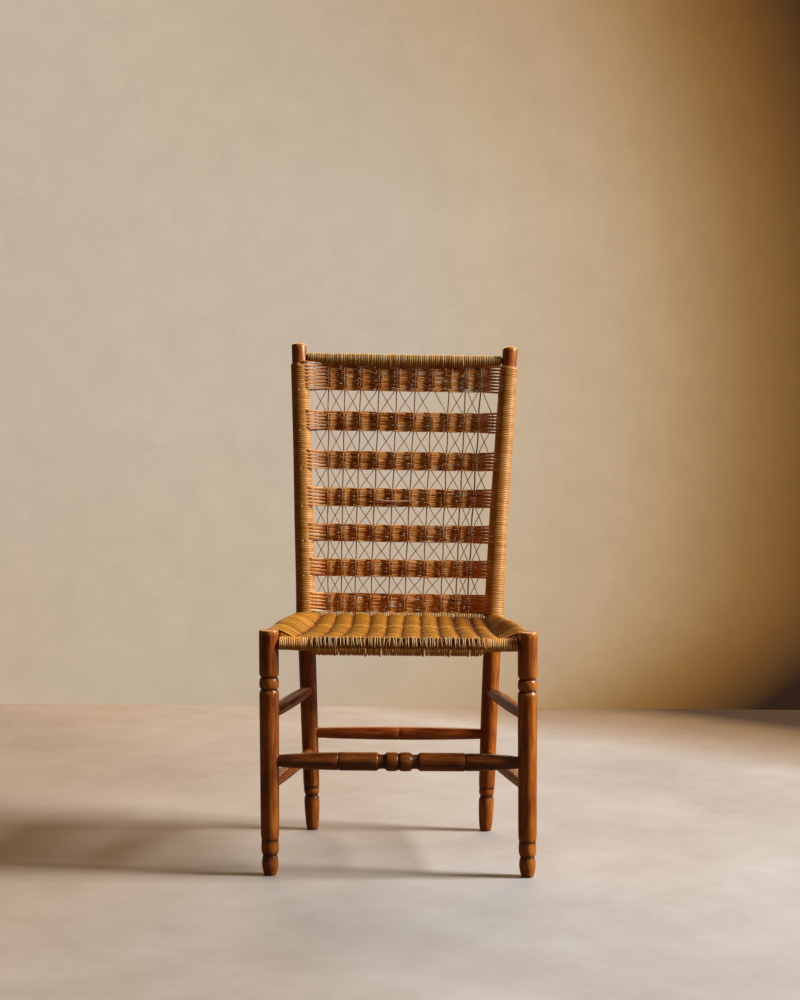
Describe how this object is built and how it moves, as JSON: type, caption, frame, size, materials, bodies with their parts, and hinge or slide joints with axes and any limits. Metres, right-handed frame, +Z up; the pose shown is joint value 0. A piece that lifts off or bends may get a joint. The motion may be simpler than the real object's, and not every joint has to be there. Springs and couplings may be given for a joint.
{
  "type": "rattan side chair",
  "caption": "Dining side chair with a turned, stained wood frame, an openwork woven rattan back between bent posts and a ribbed woven rattan seat.",
  "frame": {"origin": "on the floor, under the middle of the chair's outline", "axes": "+Z up, -Y towards the sitter's front, +X to the right of someone facing the chair"},
  "size_m": [0.5112, 0.472, 0.9933],
  "materials": {
    "stained_turned_wood": "dark red-brown stain under a semi-gloss varnish",
    "split_rattan": "golden split rattan, lightly glossy, worn grey in places"
  },
  "bodies": {
    "root": {"front_leg_left": "stained_turned_wood", "front_leg_right": "stained_turned_wood", "back_post_left": "stained_turned_wood", "back_post_right": "stained_turned_wood", "front_seat_rail": "stained_turned_wood", "rear_seat_rail": "stained_turned_wood", "side_seat_rail_left": "stained_turned_wood", "side_seat_rail_right": "stained_turned_wood", "top_rail": "stained_turned_wood", "front_stretcher": "stained_turned_wood", "rear_stretcher": "stained_turned_wood", "upper_side_stretcher_left": "stained_turned_wood", "upper_side_stretcher_right": "stained_turned_wood", "lower_side_stretcher_left": "stained_turned_wood", "lower_side_stretcher_right": "stained_turned_wood", "back_stake_01": "split_rattan", "back_stake_02": "split_rattan", "back_stake_03": "split_rattan", "back_stake_04": "split_rattan", "back_stake_05": "split_rattan", "back_stake_06": "split_rattan", "back_stake_07": "split_rattan", "back_stake_08": "split_rattan", "back_stake_09": "split_rattan", "back_stake_10": "split_rattan", "crossed_strands_01": "split_rattan", "crossed_strands_02": "split_rattan", "crossed_strands_03": "split_rattan", "crossed_strands_04": "split_rattan", "crossed_strands_05": "split_rattan", "crossed_strands_06": "split_rattan", "crossed_strands_07": "split_rattan", "crossed_strands_08": "split_rattan", "crossed_strands_09": "split_rattan", "crossed_strands_10": "split_rattan", "crossed_strands_11": "split_rattan", "weft_band_1": "split_rattan", "weft_band_2": "split_rattan", "weft_band_3": "split_rattan", "weft_band_4": "split_rattan", "weft_band_5": "split_rattan", "weft_band_6": "split_rattan", "weft_band_7": "split_rattan", "post_winding_left": "split_rattan", "post_winding_right": "split_rattan", "top_rail_winding": "split_rattan", "front_rail_winding": "split_rattan", "rear_rail_winding": "split_rattan", "seat_weave": "split_rattan"}
  },
  "joints": []
}
